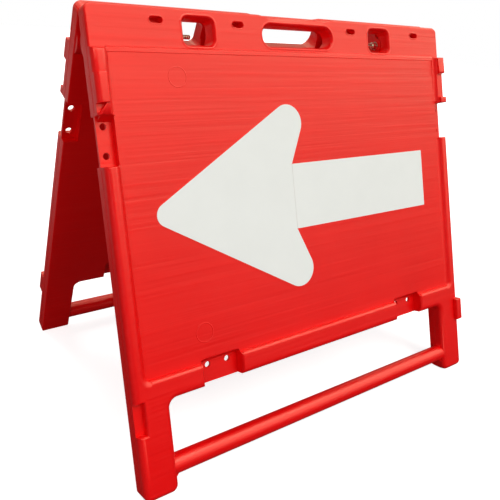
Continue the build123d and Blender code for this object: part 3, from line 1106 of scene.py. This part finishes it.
@dataclass
class HingeHardware:
    """A bolt, its lock nut and two washers at one end of the hinge axis."""

    side: Side
    zinc: Material
    hexagon: Hexagon = Hexagon()
    head_height: float = 4.0
    head_fillet: float = 0.3
    shank: float = 3.0
    core: float = 2.48
    pitch: float = 1.0
    ridge: float = 0.48
    thread: float = 30.0
    thread_crease: float = 40.0
    tip: float = 0.8
    nut_height: float = 6.0
    collar: float = 4.3
    collar_height: float = 2.0
    collar_round: Span = (0.7, 0.2)
    insert_depth: float = 0.5
    insert_gap: Span = (0.35, 0.25)
    bore: float = 2.6
    washer_radius: float = 6.25
    washer_bore: float = 3.2
    washer_edge: float = 0.25

    TURN_STEPS = 24
    RIDGE_STEPS = 4

    @classmethod
    def thread_tree(cls) -> GrowthTree:
        """Builds the tree that winds a thread's ridge round an axis.

        Returns:
            The tree.
        """
        tree = GrowthTree("wound_thread", Turns=10.0, Radius=2.5 * MM, Length=10.0 * MM,
                          Ridge=0.48 * MM)
        coil = tree.add("CurveSpiral", Resolution=cls.TURN_STEPS, Rotations=tree.source["Turns"],
                        Start_Radius=tree.source["Radius"], End_Radius=tree.source["Radius"],
                        Height=tree.source["Length"])
        return tree.end(tree.swept(tree.upright(coil), tree.circle("Ridge", cls.RIDGE_STEPS)))

    def span(self, part: str) -> Span:
        """Gives how far a node's outer and inner ends are from the board's middle, in metres."""
        inner, outer = sorted(abs(end.x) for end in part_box(f"{self.side.label}_{part}"))
        return outer, inner

    def add(self, part: str, mesh: Mesh, node: bool = True) -> None:
        """Makes a piece of a mesh.

        Args:
            part: The part's name without its side.
            mesh: Its mesh.
            node: Whether the piece stands for the CAD node of that name.
        """
        name = f"{self.side.label}_{part}"
        Piece.finish("zinc_" + name, mesh, Body.FRONT, Slot.STEEL, self.zinc, name if node else "")

    def bolt(self, threads: GrowthTree) -> None:
        """Builds the bolt and its thread.

        Args:
            threads: The tree for the thread.
        """
        outer, inner = self.span("hinge_bolt")
        length = (outer - inner) / MM
        start = length - self.thread
        turning, hexagon, head = Turning(self.side, outer), self.hexagon, self.head_height
        rings = ((0.0, hexagon.crown), (hexagon.drop, hexagon.reach), (head, hexagon.reach),
                 (head, self.shank + self.head_fillet), (head + self.head_fillet, self.shank),
                 (start, self.shank), (start + self.tip, self.core),
                 (length - self.tip, self.core), (length, self.core - self.tip))
        self.add("hinge_bolt", turning.mesh("bolt", rings, False))
        run = self.thread - 2.0 * self.tip
        mesh = threads.grow("thread", Piece.seed("thread_seed", []), self.zinc,
                            Turns=run / self.pitch, Radius=self.core * MM, Length=run * MM,
                            Ridge=self.pitch * self.ridge * MM)
        turn = Matrix.Rotation(math.radians(90.0 * self.side.value), 4, "Y")
        mesh.transform(Matrix.Translation(turning.place(start + self.tip)) @ turn)
        self.add("bolt_thread", Piece.smooth(mesh, self.thread_crease), False)

    def nut(self) -> None:
        """Builds the lock nut, with its collar and the seat of its insert."""
        hexagon, height, collar = self.hexagon, self.nut_height, self.collar
        end = height + self.collar_height
        seat = end - self.insert_depth
        wide, narrow = self.collar_round
        mouth, floor = (self.shank + gap for gap in self.insert_gap)
        rings = ((0.0, self.bore), (0.0, hexagon.crown), (hexagon.drop, hexagon.reach),
                 (lambda angle: height - hexagon.drop(angle), hexagon.reach),
                 (height, hexagon.crown), (height, collar), (end - wide, collar),
                 (end - narrow, collar - narrow), (end, collar - wide), (end, mouth),
                 (seat, floor), (seat, self.bore))
        self.add("lock_nut", Turning(self.side, self.span("lock_nut")[0]).mesh("nut", rings, True))

    def washer(self, part: str) -> None:
        """Builds a flat washer with its edges broken.

        Args:
            part: The washer's name without its side.
        """
        outer, inner = self.span(part)
        thick = (outer - inner) / MM
        edge, bore, radius = self.washer_edge, self.washer_bore, self.washer_radius
        rings = ((0.0, bore + edge), (0.0, radius - edge), (edge, radius), (thick - edge, radius),
                 (thick, radius - edge), (thick, bore + edge), (thick - edge, bore), (edge, bore))
        self.add(part, Turning(self.side, outer).mesh("washer", rings, True))

    def build(self, threads: GrowthTree) -> None:
        """Builds the whole set.

        Args:
            threads: The tree for the thread.
        """
        self.bolt(threads)
        self.nut()
        self.washer("head_washer")
        self.washer("nut_washer")


@dataclass(frozen=True)
class SoftBox:
    """A square soft light."""

    name: str
    place: Point
    size: float
    power: float
    colour: Colour

    def hang(self, aim: Vector) -> None:
        """Hangs the light.

        Args:
            aim: The place that it faces.
        """
        lamp = bpy.data.lights.new(self.name, "AREA")
        lamp.shape = "SQUARE"
        lamp.size = self.size
        lamp.energy = self.power
        lamp.color = self.colour
        made = Piece.linked(self.name, lamp)
        made.location = self.place
        made.visible_glossy = False
        made.rotation_mode = "QUATERNION"
        made.rotation_quaternion = (aim - Vector(self.place)).to_track_quat("-Z", "Y")


@dataclass
class Studio:
    """Floor, sky, lights and camera. A ramp gives a low and a high value, and where each is."""

    camera_place: Point = (-0.525678, -0.639758, 0.560980)
    yaw: float = -35.989
    pitch: float = -22.002
    roll: float = 5.799
    lens: float = 40.397
    sensor: float = 36.0
    shift: Span = (0.0334, -0.0586)
    floor_half: float = 6.0
    floor_colour: Colour = (0.60, 0.60, 0.60)
    floor_bounce: Colour = (0.15, 0.15, 0.15)
    floor_glow: Ramp = (0.80, 1.00, 0.5, 1.6)
    # Painted reflection: the floor's tone as glossy rays see it, dark near the board and paler far
    # behind it.
    painted_floor_reflection: Ramp = (0.05, 0.42, 0.3, 1.6)
    sky: float = 0.27
    sky_front: float = 0.35
    sky_back: float = 0.12
    sky_way: Point = (0.8, -0.6, 0.0)
    sky_edge: Ramp = (0.0, 1.0, 0.30, 0.60)
    sky_glow: Ramp = (0.0, 3.0, 0.14, 0.46)
    sky_lamp: Ramp = (0.0, 6.0, 0.70, 0.80)
    sky_ahead: Ramp = (1.0, 0.12, -0.34, 0.06)
    sky_far: Ramp = (0.0, 0.5, 0.34, 0.52)
    sky_rear: Ramp = (0.0, 0.60, 0.05, 0.40)
    sky_rise: Ramp = (0.0, 1.0, 0.10, 0.30)
    sky_warmth: Colour = (1.0, 0.96, 0.68)
    aim: Point = (0.0, 0.0, 0.25)
    lights: tuple[SoftBox, ...] = (
        SoftBox("key", (1.6, -6.0, 9.6), 6.4, 825.0, (1.0, 0.98, 0.91)),
        SoftBox("fill", (-2.5, -2.0, 0.7), 2.0, 31.0, (1.0, 1.0, 1.0)),
        SoftBox("lift", (1.3, -1.9, 0.25), 1.2, 8.5, (1.0, 1.0, 0.97)),
        SoftBox("back", (-0.8, 6.4, 5.6), 5.0, 330.0, (1.0, 0.98, 0.94)),
    )

    def floor(self) -> None:
        """Lays a pale floor that shows white and keeps the shadow, with a painted glow for the
        camera that is weaker near the board, and a painted tone in reflections, dark near the
        board and paler far behind it.
        """
        half = self.floor_half
        mesh = bpy.data.meshes.new("floor")
        rim = [(-half, -half, 0.0), (half, -half, 0.0), (half, half, 0.0), (-half, half, 0.0)]
        mesh.from_pydata(rim, [], [tuple(range(len(rim)))])
        w = Paint(bpy.data.materials.new("floor_paint"))
        seen, glossy = w.rays()
        spot = w.coords()
        along = w.node("SeparateXYZ", Vector=spot).outputs["Y"]
        away = w.node("VectorMath", {"operation": "LENGTH"}, Vector=spot).outputs["Value"]
        tone = w.blend(seen, self.floor_bounce, self.floor_colour)
        # Glossy rays see the floor in a painted tone, dark near the board and paler far behind it.
        tone = w.blend(glossy, tone, w.spread(along, *self.painted_floor_reflection))
        base = w.node("BsdfDiffuse", Color=tone)
        light = w.node("Emission", Strength=w.times(w.spread(away, *self.floor_glow), seen))
        both = w.node("AddShader")
        for socket, shader in zip(both.inputs, (base, light)):
            w.feed(socket, shader.outputs[0])
        w.end(both)
        mesh.materials.append(w.owner)
        Piece.linked("floor", mesh)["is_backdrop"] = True

    def world(self) -> None:
        """Makes a soft even sky that shows white, and whose lamps show in a gloss."""
        bpy.context.scene.world = bpy.data.worlds.new("studio")
        w = Paint(bpy.context.scene.world)
        seen, glossy = w.rays()
        way = w.node("TexCoord").outputs["Generated"]
        parts = w.node("SeparateXYZ", Vector=way).outputs
        back, up = parts["Y"], parts["Z"]
        toward = w.node("VectorMath", {"operation": "DOT_PRODUCT"}, Vector=way)
        toward.inputs[1].default_value = self.sky_way
        front = w.times(w.plus(w.spread(up, *self.sky_glow), self.sky_front),
                        w.spread(toward.outputs["Value"], *self.sky_edge))
        lamp = w.times(w.spread(up, *self.sky_lamp),
                       w.plus(w.spread(back, *self.sky_ahead), w.spread(back, *self.sky_far)))
        rear = w.times(w.spread(back, *self.sky_rear), w.spread(up, *self.sky_rise))
        shine = w.plus(front, lamp, rear, self.sky_back - self.sky)
        level = w.plus(w.times(seen, 1.0 - self.sky), w.times(glossy, shine), self.sky)
        w.end(w.node("Background", Color=w.blend(glossy, WHITE, self.sky_warmth), Strength=level))

    def camera(self) -> None:
        """Sets the camera at the photograph's viewing angle."""
        yaw, pitch, roll = (math.radians(value) for value in (self.yaw, self.pitch, self.roll))
        level = math.cos(pitch)
        ahead = Vector((-math.sin(yaw) * level, math.cos(yaw) * level, math.sin(pitch)))
        right = Vector((math.cos(yaw), math.sin(yaw), 0.0))
        up = right.cross(ahead)
        side = right * math.cos(roll) + up * math.sin(roll)
        top = up * math.cos(roll) - right * math.sin(roll)
        data = bpy.data.cameras.new("camera")
        data.sensor_width = self.sensor
        data.lens = self.lens
        data.shift_x, data.shift_y = self.shift
        made = Piece.linked("camera", data)
        turn = Matrix((side, top, -ahead)).transposed().to_4x4()
        made.matrix_world = Matrix.Translation(self.camera_place) @ turn
        bpy.context.scene.camera = made

    def build(self) -> None:
        """Builds the whole studio."""
        self.floor()
        self.world()
        for light in self.lights:
            light.hang(Vector(self.aim))
        self.camera()
        bpy.context.scene.view_settings.view_transform = "Standard"


def corners(box: Iterable[Vector]) -> list[list[float]]:
    """Gives a box's corners as plain lists."""
    return [list(corner) for corner in box]


def main() -> None:
    """Builds the board and the studio."""
    logging.basicConfig(level=logging.INFO, format="%(name)s: %(message)s")
    plastic = MouldedPlastic().material()
    sheet = ReflectiveSheet().material()
    zinc = ZincPlate().material()
    ridges, rings = MouldMarks.ridge_tree(), MouldMarks.ring_tree()
    threads = HingeHardware.thread_tree()
    trees = {kind: kind.tree() for kind in (Cove, Section, Rim)}
    for body in Body:
        place = PanelPlace(body)
        MouldedPanel(place, plastic).build(trees)
        MouldMarks(place, plastic).build(ridges, rings)
    for node in ("arrow_head", "arrow_shaft"):
        ArrowSheet(node).build(sheet)
    for side in Side:
        HingeHardware(side, zinc).build(threads)
    Studio().build()
    boxes = {"cad": corners(CAD_BOX), "visual": corners(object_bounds())}


if __name__ == "__main__":
    main()
